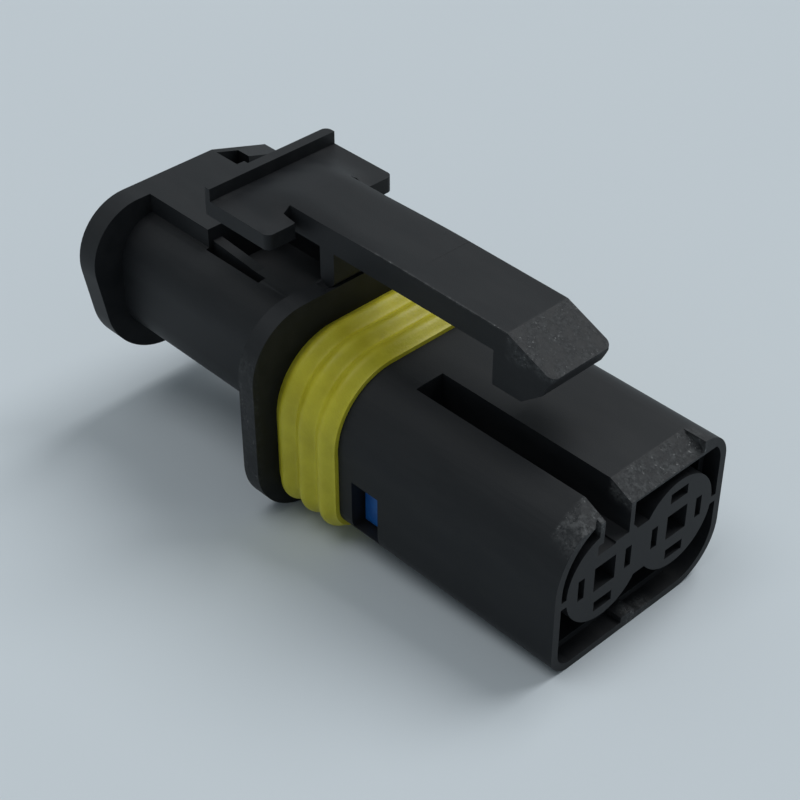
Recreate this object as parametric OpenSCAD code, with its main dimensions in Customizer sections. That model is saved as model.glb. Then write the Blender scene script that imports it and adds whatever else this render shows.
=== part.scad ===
// Two-way sealed female connector housing with a rocking latch.
// +X points to the mating end, +Z to the latch side. The origin is the centre of
// the mating end face, midway between the two contact towers. Left and right are as
// seen facing that end, so left is -Y. Lengths are millimetres.

/* [Contact layout] */
// Distance between the two contact axes
pitch = 6; // [5.8:0.05:6.2]
// Length of the mating nose in front of the collar
nose_len = 22.1; // [21.6:0.1:24]
// Length of the wire end behind the collar
rear_len = 16.6; // [16:0.1:18.5]

/* [Nose shell] */
// Outside width of the nose
nose_w = 13.9; // [13.7:0.05:14.4]
// Height of the nose's top above the contact axes
nose_top = 4.7; // [4.5:0.05:5]
// Depth of the nose's underside below the contact axes
nose_bottom = 5.5; // [5.4:0.05:6]
// Radius of the rounded lobe at the top left, which is the blunt side
lobe_r = 4.3; // [3.8:0.05:4.4]
// Radius of the squarer top right edge
nose_edge_r = 2.1; // [1.6:0.05:2.4]
// Radius of the lower left edge
nose_foot_r = 1.6; // [1.2:0.05:2]
// Radius of the rounder lower right edge
nose_heel_r = 3.4; // [2.8:0.05:3.6]
// Wall of the nose shell
shell_wall = 0.95; // [0.8:0.05:1.05]
// Wall of the thinner lip at the mouth
lip_wall = 0.5; // [0.35:0.05:0.7]
// Depth of the thinner lip
lip_depth = 1.1; // [0.5:0.1:2]
// Depth of the moulded hollow round the towers
core_depth = 12.6; // [8:0.1:13]
// Length of the lead-in slope on the top of the mouth
lead_len = 1.6; // [0.8:0.1:2.4]
// Drop of the lead-in slope at the mouth
lead_drop = 0.8; // [0.3:0.05:1]

/* [Key groove] */
// Width of the groove
key_w = 2.1; // [1.6:0.05:2.3]
// Distance of the groove's middle from the centre, to the left
key_offset = 2.25; // [2.1:0.05:2.4]
// Height of the groove's floor above the contact axes
key_floor = 1.85; // [1.7:0.05:2.3]
// Length of the groove from the mouth
key_len = 14.3; // [10:0.1:14.8]
// Wall between the groove and the hollow beside it
key_wall = 0.35; // [0.3:0.05:0.8]

/* [Towers] */
// Radius of each round contact tower
tower_r = 3.05; // [2.95:0.05:3.15]
// Thickness of the side ribs that hold the towers
side_rib_t = 0.5; // [0.4:0.05:0.8]
// Width of the rib on the floor of the hollow
foot_rib_w = 1.1; // [0.8:0.1:1.6]
// Distance of that rib's middle from the centre, to the left
foot_rib_offset = 0.6; // [0.4:0.05:0.9]
// Distance of that rib's full height behind the mating face
foot_rib_back = 1.5; // [1:0.1:2.5]
// Height of that rib's low front part above the nose's underside
foot_sill_h = 0.85; // [0.7:0.05:1.1]
// Width of the block that joins the towers
tower_web_w = 2.6; // [1.6:0.1:3]
// Height of the block that joins the towers
tower_web_h = 3.4; // [2:0.1:3.6]
// Width of a tab entry
entry_w = 1.7; // [1.6:0.05:1.8]
// Height of a tab entry
entry_h = 1.7; // [1.6:0.05:1.9]
// Thickness of the wall in front of the contacts
entry_wall = 1; // [0.8:0.05:1.2]
// Width of the moulding slots round a tab entry
vent_w = 0.5; // [0.4:0.05:0.6]
// Length of the moulding slots round a tab entry
vent_len = 1.45; // [1:0.05:1.6]
// Depth of the moulding slots
vent_depth = 3; // [1:0.1:4]
// Distance of the side slots from the tower's axis
vent_side = 1.9; // [1.8:0.05:2]
// Distance of the upper and lower slots from the tower's axis
vent_end = 2.05; // [1.95:0.05:2.15]
// Width of the upper and lower slots
vent_end_w = 0.7; // [0.5:0.05:0.8]

/* [Contact cavities] */
// Side of the square channel that guides a contact
cavity_w = 2.4; // [2.35:0.01:2.5]
// Width of the keel channel in the cavity's floor
keel_slot_w = 1.1; // [1.05:0.05:1.3]
// Depth of the keel channel's floor below the contact axis
keel_slot_floor = 1.85; // [1.8:0.05:1.95]
// Radius of the round channel behind the square one
crimp_bore_r = 1.78; // [1.76:0.01:1.9]
// Radius of the bore that holds a wire seal
seal_bore_r = 2.35; // [2.3:0.01:2.4]
// Depth of the wire seal bore from the wire end
seal_bore_depth = 15.6; // [15:0.1:16.2]

/* [Collars] */
// Width of the collar behind the interface seal
collar_w = 17.8; // [17:0.1:19]
// Height of the collar above the contact axes
collar_top = 7.25; // [7:0.05:7.5]
// Depth of the collar below the contact axes
collar_bottom = 7.2; // [6.8:0.05:7.6]
// Thickness of the collar
collar_t = 1.3; // [1.2:0.05:1.6]
// Corner radius of the collar
collar_r = 4; // [3:0.1:5]
// Thickness of the rim at the wire end
rim_t = 1.6; // [1.2:0.05:2.2]
// Height of the rim above the contact axes
rim_top = 6.9; // [6.6:0.05:7.1]
// Overhang of the rim round the wire tubes
rim_lip = 1.5; // [1.2:0.05:1.9]
// Radius of the rim's upper corners
rim_r = 3.8; // [3.2:0.1:4.2]
// Width across the rim's upper corners
rim_w = 16.4; // [15.6:0.1:17.2]
// Width of the notch in the rim's top edge
notch_w = 1.8; // [1.2:0.1:2.2]
// Depth of the notch in the rim's top edge
notch_depth = 1.5; // [0.8:0.1:1.8]
// Distance of the notch's middle from the centre, to the right
notch_offset = 3.75; // [3.4:0.05:4.4]
// Wall left behind the notch
notch_wall = 0.5; // [0.4:0.05:0.8]
// Drop of the rim's top from the notch to its right end
rim_fall = 1.65; // [1.2:0.05:1.8]

/* [Wire end] */
// Radius of each wire tube
tube_r = 3.15; // [3.1:0.01:3.3]
// Height of the deck above the wire tubes
deck_top = 5.6; // [5.4:0.05:5.8]
// Radius of the deck's edges
deck_r = 3; // [2.4:0.1:3.4]
// Width of the raised block in front of the rim
block_w = 6.9; // [6.4:0.1:7.2]
// Length of the raised block, with the rim
block_len = 7.4; // [6.4:0.1:7.8]
// Depth of the pocket floor below the deck
pocket_depth = 2; // [1.2:0.1:2.4]
// Width of the pocket under the thumb pad
pocket_w = 4.8; // [4:0.1:5]
// Wall between the pocket and the collar
pocket_wall = 1.2; // [0.8:0.05:1.4]
// Width of a rail beside the pocket
rail_t = 0.7; // [0.5:0.05:0.9]
// Height of a rail above the deck, at its rear end
rail_h = 0.45; // [0.2:0.05:0.6]
// Width of the channel outside a rail
channel_w = 0.6; // [0.4:0.05:0.8]
// Depth of the channel outside a rail
channel_depth = 0.7; // [0.4:0.05:0.9]
// Length of the channel outside a rail
channel_len = 5; // [3:0.1:5.6]

/* [Latch] */
// Width of the latch arm
arm_w = 4.76; // [4.4:0.02:5.2]
// Height of the arm's top above the contact axes, at the tip's slope
arm_top = 11.2; // [11:0.05:11.4]
// Rise of the arm's top from the tip's slope to the thumb pad
arm_rise = 0.3; // [0:0.05:0.4]
// Thickness of the arm at the tip's slope
arm_t = 1.6; // [1.4:0.05:1.8]
// Distance of the arm's tip behind the mating face
tip_back = 5.05; // [4.8:0.05:5.6]
// Length of the slope on the arm's tip
tip_slope = 3.35; // [2.6:0.05:3.8]
// Drop of the slope at the tip
tip_drop = 1.4; // [0.8:0.05:1.5]
// Length by which the hook's corner lies behind the tip
tip_rake = 0.7; // [0.3:0.05:0.9]
// Length of the hook under the tip
hook_len = 4.3; // [3.8:0.05:4.6]
// Depth of the hook below the arm
hook_depth = 2.3; // [1.8:0.05:2.4]
// Radius of the rounded corners of the tip, seen from above
tip_r = 0.5; // [0.3:0.05:0.8]
// Width of the thumb pad
pad_w = 9.9; // [9.4:0.1:10.4]
// Length of the thumb pad
pad_len = 6; // [5.6:0.05:6.4]
// Gap between the collar's rear face and the thumb pad
pad_gap = 1.5; // [1.2:0.05:1.7]
// Height of the pad's top below the arm's top
pad_step = 0.7; // [0.5:0.02:0.9]
// Thickness of the thumb pad
pad_t = 0.9; // [0.8:0.05:1.1]
// Height of the grip rib above the pad
grip_h = 1; // [0.6:0.05:1.2]
// Thickness of the grip rib
grip_t = 0.75; // [0.5:0.05:1]
// Radius of the pad's corners
pad_r = 0.45; // [0.3:0.05:0.7]
// Width of the relief slots between the arm and the pad
relief_w = 0.5; // [0.3:0.05:0.7]
// Depth of the relief slots
relief_len = 1; // [0.6:0.05:1.2]
// Thickness of the post that carries the arm
post_t = 1.2; // [1:0.05:1.3]
// Height of the pivot above the collar's top
pivot_rise = 0.45; // [0.35:0.05:0.6]
// Running clearance at the pivot
pivot_gap = 0.05; // [0.03:0.01:0.08]
// Room at each end of the saddle, beside the post
saddle_play = 0.5; // [0.3:0.05:0.8]

/* [Interface seal] */
// Length of the seal along the nose
seal_len = 5.1; // [4.8:0.1:5.4]
// Depth of the seat under the nose's surface
seal_seat = 0.5; // [0.35:0.05:0.6]
// Clearance between the seal and its seat
seal_gap = 0.04; // [0.02:0.01:0.08]
// Height of a sealing rib above the nose's surface
seal_rib_h = 0.75; // [0.6:0.05:0.9]
// Height of the valleys above the nose's surface
seal_valley_h = 0.28; // [0.15:0.01:0.4]
// Number of sealing ribs
seal_ribs = 3; // [2:1:3]

/* [Secondary lock] */
// Width of the lock's slot along the nose
lock_slot_w = 2.2; // [2.1:0.05:2.3]
// Distance of the slot's front edge behind the mating face
lock_back = 13.7; // [13.6:0.05:13.9]
// Depth of the slot's roof below the contact axes
lock_roof = 1.1; // [1.05:0.05:1.2]
// Clearance round the lock
lock_gap = 0.1; // [0.06:0.01:0.14]
// Travel of the lock out to its release position
lock_travel = 1.6; // [1.4:0.05:1.8]
// Depth of the lock's notches
lock_notch_depth = 0.9; // [0.8:0.05:1.1]
// Play of a keel in its notch
lock_notch_play = 0.3; // [0.2:0.05:0.4]

/* [Contacts] */
// Outside size of the contact's steel cage
cage_w = 2.2; // [2.14:0.01:2.24]
// Wall of the steel cage
cage_t = 0.2; // [0.18:0.01:0.24]
// Length of the steel cage
cage_len = 7.5; // [6.5:0.1:8]
// Clearance between the cage and the contact
cage_gap = 0.03; // [0.02:0.01:0.05]
// Distance of the springs behind the cage's front edge
spring_set_back = 0.2; // [0.1:0.05:0.4]
// Gap between the cage's rear edge and the contact's shoulder
cage_rear_gap = 0.1; // [0.05:0.05:0.2]
// Sheet thickness of the contact
sheet_t = 0.25; // [0.22:0.01:0.3]
// Gap between the two contact springs where a tab enters
spring_gap = 0.5; // [0.4:0.02:0.6]
// Width of the keel that the lock catches
keel_w = 0.9; // [0.8:0.05:0.95]
// Depth of the keel below the contact axis
keel_depth = 1.72; // [1.65:0.01:1.75]
// Gap between the keel and the shoulder behind the cage
keel_gap = 0.2; // [0.1:0.05:0.3]
// Play along the nose between the keel and the lock
keel_play = 0.15; // [0.05:0.05:0.2]
// Gap between the contact and the wall in front of it
contact_gap = 0.3; // [0.2:0.05:0.4]
// Width of the wire crimp
crimp_w = 1.9; // [1.7:0.05:2]
// Length of the wire crimp
crimp_len = 3.2; // [2.6:0.1:3.6]
// Height of the wire crimp's wings
crimp_h = 2.1; // [1.8:0.05:2.3]
// Length of the joggle between the two crimps
crimp_joggle = 1.4; // [1:0.1:1.8]
// Height of the channel in front of the wire crimp
channel_h = 1.3; // [1:0.05:1.6]
// Width of the crimp that grips the wire seal
grip_crimp_w = 2.6; // [2.5:0.05:2.7]
// Length of the crimp that grips the wire seal
grip_crimp_len = 2.2; // [1.8:0.1:2.5]
// Length by which that crimp passes the front of the wire seal
grip_overrun = 0.2; // [0.1:0.05:0.4]

/* [Wire seals] */
// Radius of a wire seal's ribs
wire_seal_r = 2.3; // [2.24:0.01:2.32]
// Radius of the valleys between the ribs
wire_seal_valley_r = 1.95; // [1.8:0.01:2.05]
// Radius of the hole for the wire
wire_hole_r = 0.75; // [0.6:0.01:0.85]
// Length of the ribbed part
wire_seal_len = 6.6; // [6:0.1:7]
// Radius of the thin neck that the contact grips
wire_neck_r = 1; // [0.95:0.01:1.02]
// Length of the thin neck
wire_neck_len = 2.6; // [2.2:0.1:2.8]
// Distance of the wire seal in front of the wire end
wire_seal_back = 5; // [4:0.1:5.4]
// Number of ribs on a wire seal
wire_ribs = 3; // [2:1:4]
// Width of a rib at its foot, as a share of the rib spacing
wire_rib_foot = 0.76; // [0.6:0.02:0.9]
// Width of a rib at its crest, as a share of the rib spacing
wire_rib_crest = 0.24; // [0.1:0.02:0.4]

/* [Hidden] */
$fn = 64;
over = 1;
black = [0.035, 0.04, 0.045];
LEFT = -1;
RIGHT = 1;

axis_y = pitch / 2;
collar_front = -nose_len;
collar_rear = collar_front - collar_t;
rear_end = collar_rear - rear_len;
rim_front = rear_end + rim_t;
block_front = rear_end + block_len;
seal_front = collar_front + seal_len;
pocket_front = collar_rear - pocket_wall;
deck_w = pitch + 2 * tube_r;
arm_bottom = arm_top - arm_t;
post_x = collar_front - collar_t / 2;
pivot_z = collar_top + pivot_rise;
pad_front = collar_rear - pad_gap;
pad_rear = pad_front - pad_len;
arm_rear_top = arm_top + arm_rise;
pad_top = arm_top - pad_step;
rise_front = pad_front - relief_len;
rise_rear = pad_rear + grip_t;
hook_rear = -tip_back - hook_len;
lock_slot_rear = -lock_back - lock_slot_w;
lock_slot_floor = shell_wall - nose_bottom;
lock_end = nose_w / 2 - shell_wall;
contact_front = -entry_wall - contact_gap;
cage_rear = contact_front - cage_len;
keel_front = cage_rear - keel_gap;
keel_rear = -lock_back + keel_play;
seal_bore_front = rear_end + seal_bore_depth;
wire_seal_rear = rear_end + wire_seal_back;
wire_seal_front = wire_seal_rear + wire_seal_len;
wire_neck_front = wire_seal_front + wire_neck_len;
grip_crimp_front = wire_neck_front + grip_overrun;
grip_crimp_rear = grip_crimp_front - grip_crimp_len;
crimp_rear = grip_crimp_front + crimp_joggle;
crimp_front = crimp_rear + crimp_len;
inner_w = cage_w - 2 * cage_t - 2 * cage_gap;

// ---- helpers ----------------------------------------------------------------

// Carries a flat (Y, Z) outline from x0 to x1
module along_x(x0, x1) {
    translate([x0, 0, 0])
        rotate([90, 0, 90])
            linear_extrude(x1 - x0)
                children();
}

// Carries a flat (X, Z) outline across the width, centred
module across_y(w) {
    translate([0, w / 2, 0])
        rotate([90, 0, 0])
            linear_extrude(w)
                children();
}

// Box from its lowest to its highest corner
module span(low, high) {
    translate(low)
        cube(high - low);
}

// Convex outline wrapped round circles [y, z, r], taken anticlockwise
function tangent(a, b) =
    let(
        run = [b[0] - a[0], b[1] - a[1]],
        turn = atan2(run[1], run[0]) - acos((a[2] - b[2]) / norm(run)),
        out = [cos(turn), sin(turn)]
    )
    [[a[0], a[1]] + a[2] * out, [b[0], b[1]] + b[2] * out];

module belt(rings) {
    count = len(rings);
    points = [for (i = [0:count - 1]) each tangent(rings[i], rings[(i + 1) % count])];
    polygon(points);
    for (ring = rings)
        translate([ring[0], ring[1]])
            circle(ring[2]);
}

// Corner circles of the nose's outline, pulled in by inset
function nose_rings(inset) =
    let(side = nose_w / 2)
    [
        [-side + nose_foot_r, -nose_bottom + nose_foot_r, nose_foot_r - inset],
        [side - nose_heel_r, -nose_bottom + nose_heel_r, nose_heel_r - inset],
        [side - nose_edge_r, nose_top - nose_edge_r, nose_edge_r - inset],
        [-side + lobe_r, nose_top - lobe_r, lobe_r - inset]
    ];

module nose_outline(inset = 0) {
    belt(nose_rings(inset));
}

module collar_outline() {
    y = collar_w / 2 - collar_r;
    top = collar_top - collar_r;
    bottom = collar_r - collar_bottom;
    belt([[-y, bottom, collar_r], [y, bottom, collar_r], [y, top, collar_r], [-y, top, collar_r]]);
}

module rim_outline() {
    foot = tube_r + rim_lip;
    y = rim_w / 2 - rim_r;
    z = rim_top - rim_r;
    belt([[-axis_y, 0, foot], [axis_y, 0, foot], [y, z, rim_r], [-y, z, rim_r]]);
}

// Section of the wire end: two tubes under one rounded deck
module deck_outline() {
    for (side = [LEFT, RIGHT])
        translate([side * axis_y, 0])
            circle(tube_r);
    y = deck_w / 2 - deck_r;
    z = deck_top - deck_r;
    translate([-deck_w / 2, 0])
        square([deck_w, z]);
    translate([-y, 0])
        square([2 * y, deck_top]);
    for (side = [LEFT, RIGHT])
        translate([side * y, z])
            circle(deck_r);
}

// Closed ring of a profile [x, height] swept round the nose's outline.
// The outline is walked in equal turns round each corner circle, from its left side.
corner_steps = 8;
function ring_point(at, lift) =
    let(
        corner = floor(at / (corner_steps + 1)),
        step = at % (corner_steps + 1),
        ring = nose_rings(0)[corner],
        turn = 90 * (corner + 2 + step / corner_steps),
        r = ring[2] + lift
    )
    [ring[0] + r * cos(turn), ring[1] + r * sin(turn)];

module swept_ring(profile) {
    around = 4 * (corner_steps + 1);
    count = len(profile);
    points = [
        for (at = [0:around - 1], p = profile)
            let(q = ring_point(at, p[1]))
            [p[0], q[0], q[1]]
    ];
    faces = [
        for (at = [0:around - 1], i = [0:count - 1])
            let(next_at = (at + 1) % around, next_i = (i + 1) % count)
            [at * count + i, next_at * count + i, next_at * count + next_i, at * count + next_i]
    ];
    polyhedron(points, faces);
}

// ---- housing ----------------------------------------------------------------

// Solid nose, with the seal's seat and the lead-in slope of the mouth
module nose_solid() {
    along_x(collar_front, seal_front)
        nose_outline(seal_seat);
    difference() {
        along_x(seal_front, 0)
            nose_outline();
        translate([0, -nose_edge_r, 0])
            across_y(nose_w)
                polygon([
                    [-lead_len, nose_top],
                    [over, nose_top - lead_drop * (1 + over / lead_len)],
                    [over, nose_top + over],
                    [-lead_len, nose_top + over]
                ]);
    }
}

// Key groove along the top, open at the mouth
module key_groove(wall = 0) {
    span(
        [-key_len - wall, -key_offset - key_w / 2 - wall, key_floor - wall],
        [over, -key_offset + key_w / 2 + wall, nose_top + over]
    );
}

// Hollow between the shell and the towers
module nose_hollow() {
    difference() {
        union() {
            along_x(-core_depth, over)
                nose_outline(shell_wall);
            along_x(-lip_depth, over)
                difference() {
                    nose_outline(lip_wall);
                    translate([-key_offset, nose_top - shell_wall])
                        square([nose_w, shell_wall]);
                }
        }
        for (side = [LEFT, RIGHT])
            translate([0, side * axis_y, 0])
                tower_keep();
        key_groove(key_wall);
        span(
            [-core_depth - over, -tower_web_w / 2, -tower_web_h / 2],
            [0, tower_web_w / 2, tower_web_h / 2]
        );
        span(
            [-core_depth - over, -foot_rib_offset - foot_rib_w / 2, -nose_bottom],
            [-foot_rib_back, foot_rib_w / 2 - foot_rib_offset, 0]
        );
        span(
            [-core_depth, -foot_rib_offset - foot_rib_w / 2, -nose_bottom],
            [0, foot_rib_w / 2 - foot_rib_offset, foot_sill_h - nose_bottom]
        );
        span(
            [-core_depth - over, -nose_w / 2, -side_rib_t],
            [0, nose_w / 2, 0]
        );
    }
}

module tower_keep() {
    along_x(-core_depth - over, 0)
        circle(tower_r);
}

// Tab entry and the three moulding slots in a tower's end
module tower_mouth() {
    span([-entry_wall - over, -entry_w / 2, -entry_h / 2], [over, entry_w / 2, entry_h / 2]);
    for (side = [LEFT, RIGHT])
        translate([-vent_depth, side * vent_side - vent_w / 2, -vent_len / 2])
            cube([vent_depth + over, vent_w, vent_len]);
    for (side = [LEFT, RIGHT])
        translate([-vent_depth, -vent_len / 2, side * vent_end - vent_end_w / 2])
            cube([vent_depth + over, vent_len, vent_end_w]);
}

// Channel that a contact and its wire seal are pushed into from the wire end
module contact_cavity() {
    along_x(seal_bore_front - over, -entry_wall)
        square(cavity_w, center = true);
    span(
        [seal_bore_front - over, -keel_slot_w / 2, -keel_slot_floor],
        [keel_front + keel_gap, keel_slot_w / 2, 0]
    );
    along_x(seal_bore_front - over, lock_slot_rear)
        circle(crimp_bore_r);
    along_x(rear_end - over, seal_bore_front)
        circle(seal_bore_r);
}

// Slot for the lock, entered from the left side of the nose
module lock_slot() {
    span(
        [lock_slot_rear, -nose_w, lock_slot_floor],
        [-lock_back, lock_end, -lock_roof]
    );
}

// Raised block, rails, pocket and channels under the thumb pad
module deck_detail() {
    across_y(block_w)
        polygon([
            [rim_front, 0],
            [block_front, 0],
            [block_front, rim_top],
            [rim_front, rim_top]
        ]);
    for (side = [LEFT, RIGHT])
        translate([0, side * (pocket_w + rail_t) / 2, 0])
            across_y(rail_t)
                polygon([
                    [block_front - over, 0],
                    [collar_rear, 0],
                    [collar_rear, deck_top - rail_h],
                    [block_front - over, deck_top + rail_h]
                ]);
}

module deck_cuts() {
    span(
        [block_front, -pocket_w / 2, deck_top - pocket_depth],
        [pocket_front, pocket_w / 2, collar_top]
    );
    for (side = [LEFT, RIGHT])
        translate([block_front, side * (pocket_w / 2 + rail_t + channel_w / 2), deck_top - channel_depth])
            translate([0, -channel_w / 2, 0])
                cube([channel_len, channel_w, channel_depth + over]);
}

// Blind notch in the rim's front, and the slope that runs from it to the rim's right end
module rim_notch() {
    left = notch_offset - notch_w / 2;
    span(
        [rear_end + notch_wall, left, rim_top - notch_depth],
        [rim_front + over, left + notch_w, rim_top + over]
    );
    along_x(rear_end - over, rim_front + over)
        polygon([
            [left, rim_top],
            [rim_w / 2, rim_top - rim_fall],
            [rim_w / 2, rim_top + over],
            [left, rim_top + over]
        ]);
}

// Shallow saddle in the collar's top edge, in which the latch post rocks
module pivot_saddle() {
    translate([post_x, 0, pivot_z])
        rotate([90, 0, 0])
            cylinder(h = arm_w + 2 * saddle_play, r = post_t / 2 + pivot_gap, center = true);
}

module housing() {
    color(black)
        difference() {
            union() {
                nose_solid();
                along_x(collar_rear, collar_front)
                    collar_outline();
                along_x(rim_front, collar_rear)
                    deck_outline();
                along_x(rear_end, rim_front)
                    rim_outline();
                deck_detail();
            }
            nose_hollow();
            key_groove();
            for (side = [LEFT, RIGHT])
                translate([0, side * axis_y, 0]) {
                    tower_mouth();
                    contact_cavity();
                }
            lock_slot();
            deck_cuts();
            rim_notch();
            pivot_saddle();
        }
}

// ---- latch ------------------------------------------------------------------

// Side view of the arm, with the hook under its tip and the post that carries it
module arm_side() {
    tip_z = arm_top - tip_drop;
    polygon([
        [pad_rear, arm_bottom],
        [post_x - post_t / 2, arm_bottom],
        [post_x - post_t / 2, pivot_z],
        [post_x + post_t / 2, pivot_z],
        [post_x + post_t / 2, arm_bottom],
        [hook_rear, arm_bottom],
        [hook_rear, arm_bottom - hook_depth],
        [hook_rear + hook_len / 2, arm_bottom - hook_depth],
        [-tip_back - tip_rake, arm_bottom - hook_depth / 2],
        [-tip_back, tip_z],
        [-tip_back - tip_slope, arm_top],
        [pad_front, arm_rear_top],
        [rise_front, arm_rear_top],
        [rise_front, pad_top],
        [pad_rear, pad_top]
    ]);
    translate([post_x, pivot_z])
        circle(post_t / 2);
}

// Arm seen from above, with rounded corners at its tip
module arm_plan() {
    y = arm_w / 2 - tip_r;
    translate([pad_rear, -arm_w / 2])
        square([-tip_back - tip_r - pad_rear, arm_w]);
    translate([-tip_back - 2 * tip_r, -y])
        square([2 * tip_r, 2 * y]);
    for (side = [LEFT, RIGHT])
        translate([-tip_back - tip_r, side * y])
            circle(tip_r);
}

// Thumb pad seen from above
module pad_plan() {
    y = pad_w / 2 - pad_r;
    difference() {
        belt([
            [pad_rear + pad_r, -y, pad_r],
            [pad_front - pad_r, -y, pad_r],
            [pad_front - pad_r, y, pad_r],
            [pad_rear + pad_r, y, pad_r]
        ]);
        for (side = [LEFT, RIGHT])
            translate([pad_front - relief_len, side * (arm_w + relief_w) / 2 - relief_w / 2])
                square([relief_len + over, relief_w]);
    }
}

// Shallow hipped rise that carries the arm's top down into the pad
module pad_rise() {
    foot = pad_w / 2 - pad_r;
    intersection() {
        across_y(pad_w)
            polygon([
                [rise_rear, pad_top - pad_t],
                [pad_front, pad_top - pad_t],
                [pad_front, pad_top],
                [rise_front, arm_rear_top],
                [rise_rear, pad_top]
            ]);
        along_x(rise_rear, pad_front)
            polygon([
                [-foot, pad_top - pad_t],
                [foot, pad_top - pad_t],
                [foot, pad_top],
                [arm_w / 2, arm_rear_top],
                [-arm_w / 2, arm_rear_top],
                [-foot, pad_top]
            ]);
        translate([0, 0, pad_top - pad_t])
            linear_extrude(arm_rear_top - pad_top + pad_t)
                pad_plan();
    }
}

module latch_lever() {
    color(black) {
        pad_rise();
        intersection() {
            across_y(arm_w)
                arm_side();
            translate([0, 0, pivot_z - over])
                linear_extrude(arm_rear_top - pivot_z + 2 * over)
                    arm_plan();
        }
        translate([0, 0, pad_top - pad_t])
            linear_extrude(pad_t)
                pad_plan();
        intersection() {
            translate([0, 0, pad_top - pad_t])
                linear_extrude(pad_t + grip_h)
                    pad_plan();
            span([pad_rear, -pad_w, pad_top - pad_t], [pad_rear + grip_t, pad_w, pad_top + grip_h]);
        }
    }
}

// ---- seals ------------------------------------------------------------------

// Rib profile of the interface seal: a wave that peaks seal_ribs times
module interface_seal() {
    steps = 6;
    pitch_x = seal_len / seal_ribs;
    mean = (seal_rib_h + seal_valley_h) / 2;
    swing = (seal_rib_h - seal_valley_h) / 2;
    outside = [
        for (i = [0:seal_ribs * steps])
            [collar_front + i * pitch_x / steps, mean - swing * cos(360 * i / steps)]
    ];
    inside = [
        [seal_front, seal_gap - seal_seat],
        [collar_front, seal_gap - seal_seat]
    ];
    color([0.80, 0.77, 0.12])
        swept_ring(concat(outside, inside));
}

// Ribbed plug round a wire, with a thin neck that the contact grips
module wire_seal(side) {
    rib_len = wire_seal_len / wire_ribs;
    foot = rib_len * wire_rib_foot / 2;
    crest = rib_len * wire_rib_crest / 2;
    color([0.80, 0.77, 0.12])
        translate([wire_seal_rear, side * axis_y, 0])
            rotate([0, 90, 0])
                difference() {
                    union() {
                        cylinder(h = wire_seal_len, r = wire_seal_valley_r);
                        for (i = [0:wire_ribs - 1])
                            translate([0, 0, (i + 0.5) * rib_len])
                                rotate_extrude()
                                    polygon([
                                        [wire_hole_r, -foot],
                                        [wire_seal_valley_r, -foot],
                                        [wire_seal_r, -crest],
                                        [wire_seal_r, crest],
                                        [wire_seal_valley_r, foot],
                                        [wire_hole_r, foot]
                                    ]);
                        cylinder(h = wire_seal_len + wire_neck_len, r = wire_neck_r);
                    }
                    translate([0, 0, -over])
                        cylinder(h = wire_seal_len + wire_neck_len + 2 * over, r = wire_hole_r);
                }
}

// ---- secondary lock ---------------------------------------------------------

// Comb that slides across under both contacts; its notches let them pass
// once it is pulled out by lock_travel
module secondary_lock() {
    top = -lock_roof - lock_gap;
    rear = lock_slot_rear + lock_gap;
    front = -lock_back - lock_gap;
    notch_w = keel_w + 2 * lock_notch_play;
    color([0.02, 0.16, 0.42])
        difference() {
            span(
                [rear, -lock_end, lock_slot_floor + lock_gap],
                [front, lock_end - lock_gap, top]
            );
            for (side = [LEFT, RIGHT])
                translate([0, side * axis_y + lock_travel, 0])
                    span(
                        [rear - over, -notch_w / 2, top - lock_notch_depth],
                        [front + over, notch_w / 2, top + over]
                    );
        }
}

// ---- contacts ---------------------------------------------------------------

// Open U of sheet metal, seen along the contact
module crimp_u(w, h) {
    difference() {
        translate([-w / 2, -w / 2])
            square([w, h]);
        translate([-w / 2 + sheet_t, sheet_t - w / 2])
            square([w - 2 * sheet_t, h]);
    }
}

module contact(side) {
    half = inner_w / 2;
    floor_z = -crimp_w / 2;
    grip_floor = -grip_crimp_w / 2;
    color([0.72, 0.70, 0.64])
        translate([0, side * axis_y, 0]) {
            along_x(cage_rear, contact_front - spring_set_back)
                for (up = [LEFT, RIGHT])
                    translate([-half, up > 0 ? spring_gap / 2 : -half])
                        square([inner_w, half - spring_gap / 2]);
            along_x(keel_rear, cage_rear)
                square(inner_w, center = true);
            span([keel_rear, -keel_w / 2, -keel_depth], [keel_front, keel_w / 2, 0]);
            along_x(crimp_front, keel_rear)
                crimp_u(inner_w, channel_h);
            along_x(crimp_rear, crimp_front)
                crimp_u(crimp_w, crimp_h);
            across_y(inner_w)
                polygon([
                    [grip_crimp_front, grip_floor],
                    [crimp_rear, floor_z],
                    [crimp_rear, floor_z + sheet_t],
                    [grip_crimp_front, grip_floor + sheet_t]
                ]);
            along_x(grip_crimp_rear, grip_crimp_front)
                crimp_u(grip_crimp_w, grip_crimp_w);
        }
}

// Steel cage that is clipped round the contact's springs
module contact_cage(side) {
    hole = cage_w - 2 * cage_t;
    color([0.78, 0.78, 0.76])
        translate([0, side * axis_y, 0])
            along_x(cage_rear + cage_rear_gap, contact_front)
                difference() {
                    square(cage_w, center = true);
                    square(hole, center = true);
                }
}

housing();
latch_lever();
interface_seal();
secondary_lock();
contact(LEFT);  // contact_left
contact(RIGHT);  // contact_right
contact_cage(LEFT);  // contact_cage_left
contact_cage(RIGHT);  // contact_cage_right
wire_seal(LEFT);  // wire_seal_left
wire_seal(RIGHT);  // wire_seal_right
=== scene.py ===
"""Looks of a sealed two-way plug: moulded black housing with a latch, yellow seals, a
blue secondary lock and two tinned contacts in steel cages. Lengths are metres, except in
shaders and where a name ends in _mm."""

import math

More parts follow.
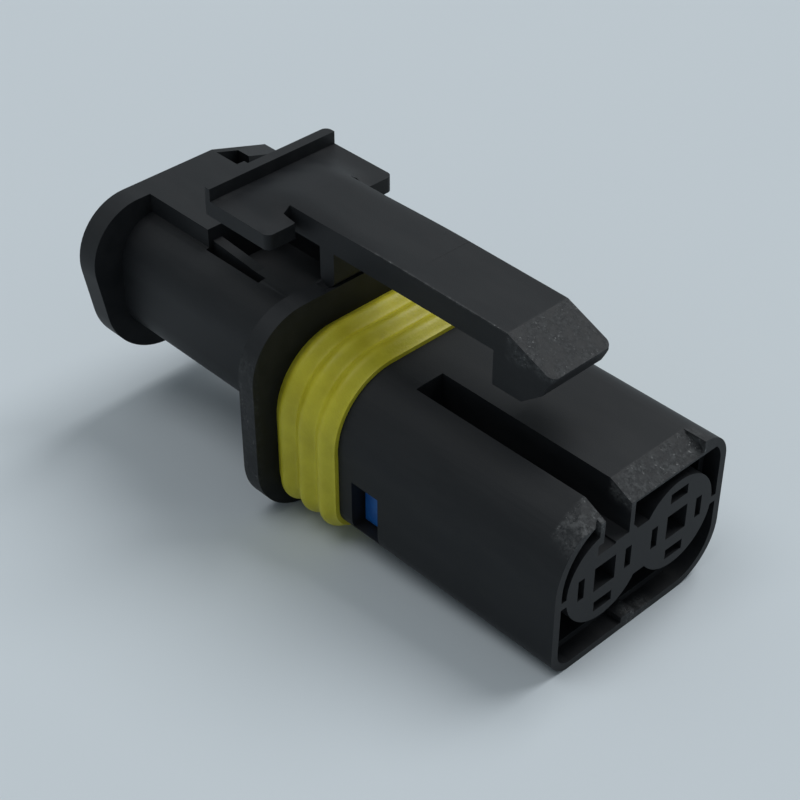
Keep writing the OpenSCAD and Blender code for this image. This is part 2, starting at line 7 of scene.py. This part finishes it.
import bmesh
import bpy
import numpy as np
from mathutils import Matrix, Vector


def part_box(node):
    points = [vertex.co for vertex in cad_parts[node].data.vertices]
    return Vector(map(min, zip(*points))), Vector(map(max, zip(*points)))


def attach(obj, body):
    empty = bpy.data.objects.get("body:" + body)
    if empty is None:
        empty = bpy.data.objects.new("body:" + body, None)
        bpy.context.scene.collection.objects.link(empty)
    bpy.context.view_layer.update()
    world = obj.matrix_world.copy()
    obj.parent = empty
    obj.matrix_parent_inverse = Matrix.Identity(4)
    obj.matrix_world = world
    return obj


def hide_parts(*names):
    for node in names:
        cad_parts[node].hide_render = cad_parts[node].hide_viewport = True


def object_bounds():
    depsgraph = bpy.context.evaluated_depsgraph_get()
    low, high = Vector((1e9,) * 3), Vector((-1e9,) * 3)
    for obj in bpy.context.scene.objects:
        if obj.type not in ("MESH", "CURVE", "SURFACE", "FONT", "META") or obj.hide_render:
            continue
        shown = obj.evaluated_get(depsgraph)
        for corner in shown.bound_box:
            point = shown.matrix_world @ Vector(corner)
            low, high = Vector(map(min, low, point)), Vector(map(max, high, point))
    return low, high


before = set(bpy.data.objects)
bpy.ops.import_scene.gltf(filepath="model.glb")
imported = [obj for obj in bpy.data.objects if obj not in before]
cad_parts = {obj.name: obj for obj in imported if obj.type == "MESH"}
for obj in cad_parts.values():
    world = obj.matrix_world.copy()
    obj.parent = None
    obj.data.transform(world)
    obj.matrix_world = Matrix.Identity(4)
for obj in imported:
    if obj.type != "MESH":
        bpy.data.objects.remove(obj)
cad_low, cad_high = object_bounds()

# ---- housing ------------------------------------------------------------------------
# One injection moulding of glass-filled black plastic: nose, collar, wire tubes and rim.
# Every arris has the small radius of its mould, and the mouth is scuffed by mating.
# It carries all the other pieces.

# Sockets of a Mix node that mixes colours, which share their names with other sockets
MIX_FIRST = 6
MIX_SECOND = 7
MIX_RESULT = 2


class Wire:
    """A node's output socket, so that arithmetic on it adds Math nodes to the material."""

    def __init__(self, tree, socket):
        self.tree = tree
        self.socket = socket

    def node(self, kind, settings, inputs, output=0):
        """Adds one node: its settings first, then the values or wires of its inputs."""
        made = self.tree.nodes.new("ShaderNode" + kind)
        for name, value in settings.items():
            setattr(made, name, value)
        for name, value in inputs.items():
            if isinstance(value, Wire):
                self.tree.links.new(value.socket, made.inputs[name])
            else:
                made.inputs[name].default_value = value
        return Wire(self.tree, made.outputs[output])

    def combined(self, operation, first, second):
        return self.node("Math", {"operation": operation}, {0: first, 1: second})

    def __add__(self, other):
        return self.combined("ADD", self, other)

    __radd__ = __add__

    def __sub__(self, other):
        return self.combined("SUBTRACT", self, other)

    def __rsub__(self, other):
        return self.combined("SUBTRACT", other, self)

    def __mul__(self, other):
        return self.combined("MULTIPLY", self, other)

    __rmul__ = __mul__

    def __abs__(self):
        return self.node("Math", {"operation": "ABSOLUTE"}, {0: self})


def material(name, make_shader):
    """A material whose shader is made by make_shader from Object coordinates in mm."""
    made = bpy.data.materials.new(name)
    made.use_nodes = True
    tree = made.node_tree
    tree.nodes.clear()
    coordinates = tree.nodes.new("ShaderNodeTexCoord")
    place = Wire(tree, coordinates.outputs["Object"])
    place_mm = place.node("VectorMath", {"operation": "SCALE"}, {0: place, "Scale": 1000.0})
    output = tree.nodes.new("ShaderNodeOutputMaterial")
    tree.links.new(make_shader(place_mm).socket, output.inputs["Surface"])
    return made


def axes_of(place):
    """The X, Y and Z of a place."""
    return [place.node("SeparateXYZ", {}, {0: place}, axis) for axis in range(3)]


def fade(value, start, end):
    """0 at start and 1 at end, by a smooth step."""
    settings = {"interpolation_type": "SMOOTHSTEP"}
    return value.node("MapRange", settings, {"Value": value, "From Min": start, "From Max": end})


def noise(place, scale, detail=3.0, roughness=0.55):
    """Fractal noise around 0.5, with scale features per mm."""
    inputs = {"Vector": place, "Scale": scale, "Detail": detail, "Roughness": roughness}
    return place.node("TexNoise", {}, inputs)


def stretched(place, factors):
    """A place scaled along each axis, so that a pattern on it is drawn out."""
    return place.node("Mapping", {}, {"Vector": place, "Scale": factors})


def mixed(mask, first, second):
    """first where mask is 0 and second where it is 1. Both are colours."""
    inputs = {"Factor": mask, MIX_FIRST: first, MIX_SECOND: second}
    return mask.node("Mix", {"data_type": "RGBA"}, inputs, MIX_RESULT)


def bumped(height, depth_mm):
    """A normal from a height that runs from 0 to 1 over depth_mm."""
    return height.node("Bump", {}, {"Height": height, "Strength": 1.0, "Distance": depth_mm / 1000})


BLACK = (0.0075, 0.0086, 0.0102, 1.0)
BLACK_WORN = (0.0115, 0.0126, 0.0142, 1.0)
# The next two colours are the tone of scuffs and their flecks; on the latch arm's long edges they
# also paint a highlight.
SCUFF_AND_HIGHLIGHT = (0.085, 0.089, 0.092, 1.0)
FLECK = (0.34, 0.35, 0.35, 1.0)


def black_shader(place, lightening):
    """Satin black plastic: fine grain, faint flow marks, hairlines along X, and a lighter
    tone with flecks where lightening is given: scuffs, and on the latch's edges a painted
    highlight.
    """
    grain = noise(place, 16.0, 2.0)
    flow = noise(stretched(place, (0.25, 1.0, 1.0)), 0.9, 4.0)
    hairs = noise(stretched(place, (0.35, 9.0, 9.0)), 1.6, 5.0, 0.7)
    hair_mask = fade(hairs, 0.66, 0.74)
    patch = fade(noise(place, 1.4, 3.0), 0.36, 0.62)
    # Scuffs, and on the latch's edges a painted highlight, lighten the tone here.
    wear_and_highlight = lightening * (patch * 0.7 + 0.3) * fade(noise(place, 3.6, 6.0, 0.72), 0.34, 0.62)
    fleck = lightening * patch * fade(noise(place, 5.0, 5.0, 0.7), 0.6, 0.66)
    tone = mixed(fade(flow, 0.35, 0.7), BLACK, BLACK_WORN)
    tone = mixed(wear_and_highlight * 0.8, tone, SCUFF_AND_HIGHLIGHT)
    tone = mixed(fleck * 0.6, tone, FLECK)
    height = grain * 0.35 + hair_mask * 0.15 + wear_and_highlight * 1.2
    return place.node(
        "BsdfPrincipled",
        {},
        {
            "Base Color": tone,
            "Roughness": 0.44 + flow * 0.12 + grain * 0.06 + wear_and_highlight * 0.3,
            "Normal": bumped(height, 0.02),
            "Specular IOR Level": 0.22,
        },
    )


# The middle of the worn part of the sill along Y, and of the collar along X
SILL_MIDDLE_MM = 0.2
COLLAR_MIDDLE_MM = -22.75


def housing_shader(place):
    """Scuffs lie on the lead-in slope, the lobe's front edge, the sill and the collar."""
    x, y, z = axes_of(place)
    slope = fade(x, -1.75, -1.35) * fade(z, 3.1, 3.7) * fade(y, 6.2, 4.6)
    lobe = fade(x, -1.2, -0.2) * fade(z, 2.7, 3.6) * fade(y, -1.2, -1.8)
    sill = fade(x, -1.2, -0.3) * fade(z, -4.0, -4.4) * fade(abs(y - SILL_MIDDLE_MM), 1.6, 0.6)
    collar = fade(abs(x - COLLAR_MIDDLE_MM), 0.75, 0.6) * fade(abs(y), 8.2, 8.9) * 0.4
    lightening = slope + lobe * 0.6 + sill + collar
    return black_shader(place, lightening)


# Vertices this close are merged, faces this flat are joined, and an edge sharper than
# the next angle is an arris
MERGE_SPAN = 1e-6
FLAT = math.radians(0.6)
ARRIS_TURN = math.radians(28)


def moulded_copy(node, body, finish, arris_mm, reshape=None):
    """A merged copy of a CAD node with rounded arrises, which stands for it.

    reshape, where given, is a function that changes the copy's bmesh first."""
    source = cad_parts[node]
    mesh = source.data.copy()
    mesh.name = node + "_skin"
    shape = bmesh.new()
    shape.from_mesh(mesh)
    bmesh.ops.remove_doubles(shape, verts=shape.verts, dist=MERGE_SPAN)
    bmesh.ops.dissolve_limit(shape, angle_limit=FLAT, verts=shape.verts, edges=shape.edges)
    if reshape:
        reshape(shape)
    shape.to_mesh(mesh)
    shape.free()
    mesh.materials.clear()
    mesh.materials.append(finish)
    mesh.shade_smooth()
    mesh.set_sharp_from_angle(angle=ARRIS_TURN)
    skin = bpy.data.objects.new(node + "_skin", mesh)
    bpy.context.scene.collection.objects.link(skin)
    arris = skin.modifiers.new("arris", "BEVEL")
    arris.width = arris_mm / 1000
    arris.segments = 2
    arris.limit_method = "ANGLE"
    arris.angle_limit = ARRIS_TURN
    shading = skin.modifiers.new("shading", "WEIGHTED_NORMAL")
    shading.keep_sharp = True
    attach(skin, body)
    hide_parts(node)


black_plastic = material("black_plastic", housing_shader)
moulded_copy("housing", "plug", black_plastic, arris_mm=0.1)

# ---- latch lever --------------------------------------------------------------------
# A long arm on a post, moulded in the same black plastic, with a hook under its tip and
# a thumb pad with a grip rib behind the collar. Its long edges are lightened by handling
# wear and by a painted highlight.

# The arm's top falls towards its tip. Its height in mm above the origin, and its slope
ARM_TOP_MM = 11.05
ARM_TILT = 0.018


def latch_shader(place):
    """A painted highlight and handling wear lighten the arm's two long edges; scuffs lie on
    the slope of its tip.
    """
    x, y, z = axes_of(place)
    below_top = z + x * ARM_TILT - ARM_TOP_MM
    # Painted highlight and handling wear: a lighter tone along the arm's two long top edges.
    edges = fade(abs(y), 2.25, 2.36) * fade(below_top, -0.14, -0.04) * fade(x, -26.0, -24.0)
    tip = fade(x, -8.6, -8.2) * fade(z, 9.3, 9.8) * 0.7
    return black_shader(place, edges * 0.7 + tip)


# The thumb pad's top: the thickness of its grip rib, where it starts and ends along X,
# where its rise ends, its height, the arm's height above it, how far it runs into the
# arm, and where |Y| starts and ends its fall. In front, each wing levels out beside its
# slot.
GRIP_RIB_MM = 0.75
PAD_REAR_MM = 1000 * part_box("latch_lever")[0].x + GRIP_RIB_MM
PAD_FRONT_MM = -24.9
PAD_CREST_MM = PAD_FRONT_MM - 0.5
PAD_LEVEL_MM = 10.65
PAD_RISE_MM = 0.85
BLEND_END_MM = -15.9
PAD_FALL_MM = (1.4, 4.2)
WING_SIDE_MM = (2.3, 3.1)
WING_FRONT_MM = (-26.8, -25.0)

# The grid that is cut into the pad's top: its cuts along X and Y, half its width, the
# height below which nothing is top, the height above which the grip rib lies, the slack
# that counts a vertex on a limit as inside it, and the place that a face starts behind,
# just short of the blend's end, if it is cut.
PAD_CUTS_X = 28
PAD_CUTS_Y = 25
PAD_HALF_WIDTH_MM = 4.5
TOP_LOW_MM = 10.4
GRIP_LOW_MM = 11.4
SLACK_MM = 0.01
CUT_REACH = (BLEND_END_MM - 0.1) / 1000


def smooth_step(value, start, end):
    """0 below start and 1 above end, by 3t^2 - 2t^3."""
    t = min(max((value - start) / (end - start), 0.0), 1.0)
    return t * t * (3 - 2 * t)


def pad_height(x, y, z):
    """Height in mm of the pad's or the arm's top at x and y, where the arm alone has z.

    The pad rises by a quarter sine along X from its grip rib, and falls by a smooth
    step of |Y| from the arm's middle to the pad's side edges. The wings' fronts fall by
    the product of a smooth step of |Y| and one of X."""
    run = min((x - PAD_REAR_MM) / (PAD_CREST_MM - PAD_REAR_MM), 1)
    on_pad = x < PAD_FRONT_MM + SLACK_MM
    middle = PAD_LEVEL_MM + PAD_RISE_MM * math.sin(run * math.pi / 2) if on_pad else z
    side = smooth_step(abs(y), *PAD_FALL_MM) * (1 - smooth_step(x, PAD_FRONT_MM, BLEND_END_MM))
    wing = smooth_step(abs(y), *WING_SIDE_MM) * smooth_step(x, *WING_FRONT_MM)
    kept = (1 - side) * (1 - wing)
    return PAD_LEVEL_MM + (middle - PAD_LEVEL_MM) * kept


def cut_top(shape, place, normal):
    """Cuts the upward faces that start behind CUT_REACH along one plane."""
    upward = [face for face in shape.faces if face.normal.z > 0.5]
    top = [face for face in upward if min(v.co.x for v in face.verts) < CUT_REACH]
    parts = set(top)
    for face in top:
        parts.update(face.edges, face.verts)
    bmesh.ops.bisect_plane(shape, geom=list(parts), plane_co=place, plane_no=normal)


def blend_pad(shape):
    """Cuts the pad's top into a grid and lays it on pad_height."""
    for x in np.linspace(PAD_REAR_MM, BLEND_END_MM, PAD_CUTS_X + 1)[1:]:
        cut_top(shape, Vector((x / 1000, 0, 0)), Vector((1, 0, 0)))
    for y in np.linspace(-PAD_HALF_WIDTH_MM, PAD_HALF_WIDTH_MM, PAD_CUTS_Y):
        cut_top(shape, Vector((0, y / 1000, 0)), Vector((0, 1, 0)))
    for vertex in shape.verts:
        x, y, z = vertex.co * 1000
        on_grip = x < PAD_REAR_MM + SLACK_MM and z > GRIP_LOW_MM
        in_reach = PAD_REAR_MM - SLACK_MM < x < BLEND_END_MM + SLACK_MM
        if z > TOP_LOW_MM and in_reach and not on_grip:
            vertex.co.z = pad_height(x, y, z) / 1000


latch_plastic = material("latch_plastic", latch_shader)
moulded_copy("latch_lever", "latch", latch_plastic, 0.09, blend_pad)

# ---- interface seal -----------------------------------------------------------------
# A moulded ring of yellow silicone, stretched into its seat in front of the collar.
# Its three rounded ribs stand proud of the nose and seal in the header.

# Ribs, their crests' and valleys' height above the nose, and the seat's depth below it
SEAL_RIBS = 3
RIB_HEIGHT = 0.00075
VALLEY_HEIGHT = 0.00028
SEAT_DEPTH = 0.00046

# The nose's corner radii: lower left, lower right, upper right and upper left
FOOT_R = 0.0016
HEEL_R = 0.0034
EDGE_R = 0.0021
LOBE_R = 0.0043

CORNER_STEPS = 15
RIB_STEPS = 20
RUBBER_TURN = math.radians(50)
YELLOW = (0.57, 0.52, 0.035, 1.0)
YELLOW_DEEP = (0.48, 0.43, 0.022, 1.0)
DUST = (0.7, 0.68, 0.4, 1.0)


def closed_surface(name, grid):
    """A mesh over a grid of points (rows, columns, 3) that closes on itself both ways."""
    rows, columns = grid.shape[:2]
    row, column = np.meshgrid(np.arange(rows), np.arange(columns), indexing="ij")
    after, beside = (row + 1) % rows, (column + 1) % columns
    corners = [row * columns + column, after * columns + column]
    corners += [after * columns + beside, row * columns + beside]
    faces = np.stack(corners, axis=-1).reshape(-1, 4)
    mesh = bpy.data.meshes.new(name)
    mesh.from_pydata(grid.reshape(-1, 3), [], faces)
    shape = bmesh.new()
    shape.from_mesh(mesh)
    bmesh.ops.recalc_face_normals(shape, faces=shape.faces)
    shape.to_mesh(mesh)
    shape.free()
    mesh.shade_smooth()
    return mesh


def soft_piece(node, body, mesh, finish):
    """An object for a mesh that stands for a CAD node and rides on its body."""
    mesh.materials.append(finish)
    piece = bpy.data.objects.new(node + "_rubber", mesh)
    bpy.context.scene.collection.objects.link(piece)
    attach(piece, body)
    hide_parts(node)


def seal_grid():
    """Profile (x, lift) carried round the nose's outline.

    The outline goes a quarter turn round each of four corner circles, and a point lies
    at the circle's radius plus lift. The outer profile is a raised cosine in x with one
    peak a rib, powered below 1 so that crests are broad and valleys narrow."""
    low, high = (np.array(corner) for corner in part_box("interface_seal"))
    side, top, bottom = high[1] - RIB_HEIGHT, high[2] - RIB_HEIGHT, -low[2] - RIB_HEIGHT
    turn = np.linspace(0, math.pi / 2, CORNER_STEPS)
    corners = np.array(
        [
            [-side + FOOT_R, -bottom + FOOT_R, FOOT_R, math.pi],
            [side - HEEL_R, -bottom + HEEL_R, HEEL_R, 1.5 * math.pi],
            [side - EDGE_R, top - EDGE_R, EDGE_R, 0],
            [-side + LOBE_R, top - LOBE_R, LOBE_R, 0.5 * math.pi],
        ]
    )
    angle = (corners[:, 3:] + turn).reshape(-1, 1)
    centre = np.repeat(corners[:, :3], len(turn), axis=0)
    run = np.linspace(0, 1, RIB_STEPS * SEAL_RIBS + 1)
    wave = (0.5 - 0.5 * np.cos(2 * math.pi * SEAL_RIBS * run)) ** 0.8
    outer_x = low[0] + (high[0] - low[0]) * run
    outer = np.stack([outer_x, VALLEY_HEIGHT + (RIB_HEIGHT - VALLEY_HEIGHT) * wave], axis=1)
    inner = np.array([[high[0], -SEAT_DEPTH], [low[0], -SEAT_DEPTH]])
    profile = np.concatenate([outer, inner])
    radius = centre[:, 2:3] + profile[:, 1]
    y = centre[:, 0:1] + radius * np.cos(angle)
    z = centre[:, 1:2] + radius * np.sin(angle)
    x = np.broadcast_to(profile[:, 0], y.shape)
    return np.stack([x, y, z], axis=-1)


def silicone_shader(place):
    """Satin yellow silicone: cloudy tone, fine orange peel and specks of dust."""
    cloud = fade(noise(place, 0.6, 4.0), 0.3, 0.7)
    dust = fade(noise(place, 11.0, 3.0), 0.7, 0.76)
    tone = mixed(cloud, YELLOW_DEEP, YELLOW)
    tone = mixed(dust * 0.35, tone, DUST)
    height = noise(place, 6.0, 3.0)
    return place.node(
        "BsdfPrincipled",
        {},
        {
            "Base Color": tone,
            "Roughness": 0.42 + cloud * 0.1 + dust * 0.2,
            "Normal": bumped(height, 0.02),
            "IOR": 1.41,
            "Subsurface Weight": 0.15,
            "Subsurface Radius": (0.0012, 0.0009, 0.0003),
            "Subsurface Scale": 1.0,
        },
    )


yellow_silicone = material("yellow_silicone", silicone_shader)
seal_mesh = closed_surface("interface_seal_rubber", seal_grid())
seal_mesh.set_sharp_from_angle(angle=RUBBER_TURN)
soft_piece("interface_seal", "plug", seal_mesh, yellow_silicone)

# ---- wire seals ---------------------------------------------------------------------
# Two ribbed silicone plugs, pushed into the wire tubes round the wires. The thin neck in
# front is gripped by its contact's rear crimp.

WIRE_RIBS = 3
WIRE_RIB_STEPS = 16
WIRE_TURN_STEPS = 48
WIRE_SEAL_VALLEY_R = 0.00195
WIRE_NECK_R = 0.001
WIRE_NECK_LEN = 0.0026
WIRE_HOLE_R = 0.00075


def wire_seal_grid(node):
    """Profile (x, r) turned round the wire's axis: raised cosine ribs, neck and hole."""
    low, high = (np.array(corner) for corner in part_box(node))
    rib_r = (high[2] - low[2]) / 2
    neck_x = high[0] - WIRE_NECK_LEN
    run = np.linspace(0, 1, WIRE_RIB_STEPS * WIRE_RIBS + 1)
    wave = 0.5 - 0.5 * np.cos(2 * math.pi * WIRE_RIBS * run)
    ribs_r = WIRE_SEAL_VALLEY_R + (rib_r - WIRE_SEAL_VALLEY_R) * wave
    ribs = np.stack([low[0] + (neck_x - low[0]) * run, ribs_r], axis=1)
    neck = np.array([[neck_x, WIRE_NECK_R], [high[0], WIRE_NECK_R]])
    hole = np.array([[high[0], WIRE_HOLE_R], [low[0], WIRE_HOLE_R]])
    profile = np.concatenate([ribs, neck, hole])
    angle = np.linspace(0, 2 * math.pi, WIRE_TURN_STEPS, endpoint=False)[:, None]
    y = (low[1] + high[1]) / 2 + profile[:, 1] * np.cos(angle)
    z = profile[:, 1] * np.sin(angle)
    x = np.broadcast_to(profile[:, 0], y.shape)
    return np.stack([x, y, z], axis=-1)


for node in ("wire_seal_left", "wire_seal_right"):
    plug_mesh = closed_surface(node + "_rubber", wire_seal_grid(node))
    plug_mesh.set_sharp_from_angle(angle=RUBBER_TURN)
    soft_piece(node, "plug", plug_mesh, yellow_silicone)

# ---- secondary lock -----------------------------------------------------------------
# A comb of blue plastic that slides in from the left under both contacts, so that
# neither can back out. Only its end shows, set back in its window.

BLUE = (0.004, 0.085, 0.33, 1.0)
BLUE_LIGHT = (0.008, 0.12, 0.42, 1.0)


def blue_shader(place):
    """Satin blue plastic with faint flow marks and fine grain."""
    flow = fade(noise(place, 1.2, 4.0), 0.35, 0.65)
    grain = noise(place, 18.0, 2.0)
    return place.node(
        "BsdfPrincipled",
        {},
        {
            "Base Color": mixed(flow, BLUE, BLUE_LIGHT),
            "Roughness": 0.36 + grain * 0.1,
            "Normal": bumped(grain, 0.006),
        },
    )


blue_plastic = material("blue_plastic", blue_shader)
moulded_copy("secondary_lock", "lock", blue_plastic, arris_mm=0.08)

# ---- contacts -----------------------------------------------------------------------
# Each contact is folded from tinned copper strip: springs in front, then the keel that
# the lock holds, the wire crimp and the crimp round the seal's neck.

TIN = (0.72, 0.70, 0.65, 1.0)
TIN_DULL = (0.52, 0.50, 0.46, 1.0)


def tin_shader(place):
    """Bright tin plate: cloudy patches and rolling lines along the strip."""
    cloud = fade(noise(place, 1.5, 5.0), 0.35, 0.7)
    rolled = noise(stretched(place, (0.3, 12.0, 12.0)), 2.0, 3.0)
    return place.node(
        "BsdfPrincipled",
        {},
        {
            "Base Color": mixed(cloud, TIN, TIN_DULL),
            "Roughness": 0.26 + cloud * 0.14 + rolled * 0.12,
            "Normal": bumped(rolled, 0.003),
            "Metallic": 1.0,
        },
    )


tinned_copper = material("tinned_copper", tin_shader)
for node in ("contact_left", "contact_right"):
    moulded_copy(node, "plug", tinned_copper, arris_mm=0.03)

# ---- contact cages ------------------------------------------------------------------
# A box of thin stainless strip, clipped round each contact's springs to back them up and
# to guide the tab. It is rolled strip, cut and folded.

STEEL = (0.58, 0.58, 0.57, 1.0)
STEEL_TINT = (0.45, 0.44, 0.42, 1.0)


def steel_shader(place):
    """Rolled stainless strip with fine lines across the cage."""
    lines = noise(stretched(place, (14.0, 0.4, 0.4)), 2.0, 3.0)
    cloud = fade(noise(place, 1.0, 3.0), 0.3, 0.7)
    return place.node(
        "BsdfPrincipled",
        {},
        {
            "Base Color": mixed(cloud, STEEL, STEEL_TINT),
            "Roughness": 0.28 + lines * 0.16,
            "Normal": bumped(lines, 0.002),
            "Metallic": 1.0,
        },
    )


spring_steel = material("spring_steel", steel_shader)
for node in ("contact_cage_left", "contact_cage_right"):
    moulded_copy(node, "plug", spring_steel, arris_mm=0.03)

# ---- floor, lights and camera -------------------------------------------------------
# The plug lies on a plain pale floor, on its collar and the nose's front edge. A large
# soft box stands high on its right and a weaker one above, in a pale light tent.

FLOOR_SPAN = 6.0
FLOOR_POINTS = 9
FLOOR = (0.60, 0.66, 0.70, 1.0)
FLOOR_SHADE = (0.58, 0.64, 0.685, 1.0)
COLLAR_FRONT_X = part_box("interface_seal")[0].x
COLLAR_BOTTOM_Z = cad_low.z
NOSE_BOTTOM_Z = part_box("interface_seal")[0].z + RIB_HEIGHT


def floor_shader(place):
    """Matt pale board, very slightly uneven in tone."""
    cloud = noise(place, 0.02, 3.0)
    inputs = {"Base Color": mixed(cloud, FLOOR, FLOOR_SHADE), "Roughness": 0.85 + cloud * 0.05}
    return place.node("BsdfPrincipled", {}, inputs)


def floor_grid():
    """A flat square that passes under the collar's front edge and the nose's mouth."""
    slope = (NOSE_BOTTOM_Z - COLLAR_BOTTOM_Z) / (cad_high.x - COLLAR_FRONT_X)
    across = np.linspace(-1, 1, FLOOR_POINTS) * FLOOR_SPAN / 2
    x, y = np.meshgrid(across, across, indexing="ij")
    z = COLLAR_BOTTOM_Z + slope * (x - COLLAR_FRONT_X)
    return np.stack([x, y, z], axis=-1)


def open_surface(name, grid):
    """A mesh over a grid of points (rows, columns, 3) that stays open at its edges."""
    rows, columns = grid.shape[:2]
    row, column = np.meshgrid(np.arange(rows - 1), np.arange(columns - 1), indexing="ij")
    first = row * columns + column
    faces = np.stack([first, first + columns, first + columns + 1, first + 1], axis=-1)
    mesh = bpy.data.meshes.new(name)
    mesh.from_pydata(grid.reshape(-1, 3), [], faces.reshape(-1, 4))
    return mesh


floor_mesh = open_surface("floor", floor_grid())
floor_mesh.materials.append(material("pale_board", floor_shader))
floor = bpy.data.objects.new("floor", floor_mesh)
bpy.context.scene.collection.objects.link(floor)

# Strength of the tent as a light, and as the backdrop that the eye, gloss and clear
# pieces see, and its colour
TENT_LIGHT = 0.25
TENT_SEEN = 0.6
TENT_TINT = (0.86, 0.95, 1.0, 1.0)


def soft_sun(name, place, spread_deg, strength):
    """A wide sun that shines from a place towards the origin, as a large soft box does."""
    data = bpy.data.lights.new(name, "SUN")
    data.angle = math.radians(spread_deg)
    data.energy = strength
    made = bpy.data.objects.new(name, data)
    made.location = place
    made.rotation_euler = (-Vector(place)).to_track_quat("-Z", "Y").to_euler()
    bpy.context.scene.collection.objects.link(made)


soft_sun("right_box", (0.02, 0.25, 0.34), 34, 1.7)
soft_sun("top_box", (-0.07, -0.12, 0.40), 36, 0.6)

tent = bpy.data.worlds.new("tent")
tent.use_nodes = True
backdrop = tent.node_tree.nodes["Background"]
backdrop.inputs["Color"].default_value = TENT_TINT
path = tent.node_tree.nodes.new("ShaderNodeLightPath")
rays = ("Is Camera Ray", "Is Glossy Ray", "Is Transmission Ray")
seen = sum(Wire(tent.node_tree, path.outputs[ray]) for ray in rays)
strength = seen * (TENT_SEEN - TENT_LIGHT) + TENT_LIGHT
tent.node_tree.links.new(strength.socket, backdrop.inputs["Strength"])
bpy.context.scene.world = tent

camera_data = bpy.data.cameras.new("camera")
camera_data.lens = 82.46
camera_data.sensor_width = 36.0
camera_data.clip_start = 0.005
camera_data.clip_end = 20.0
camera = bpy.data.objects.new("camera", camera_data)
camera.location = (0.04443, -0.06057, 0.06803)
camera.rotation_euler = (math.radians(51.977), 0, math.radians(46.366))
bpy.context.scene.collection.objects.link(camera)
bpy.context.scene.camera = camera
bpy.context.scene.view_settings.view_transform = "Standard"
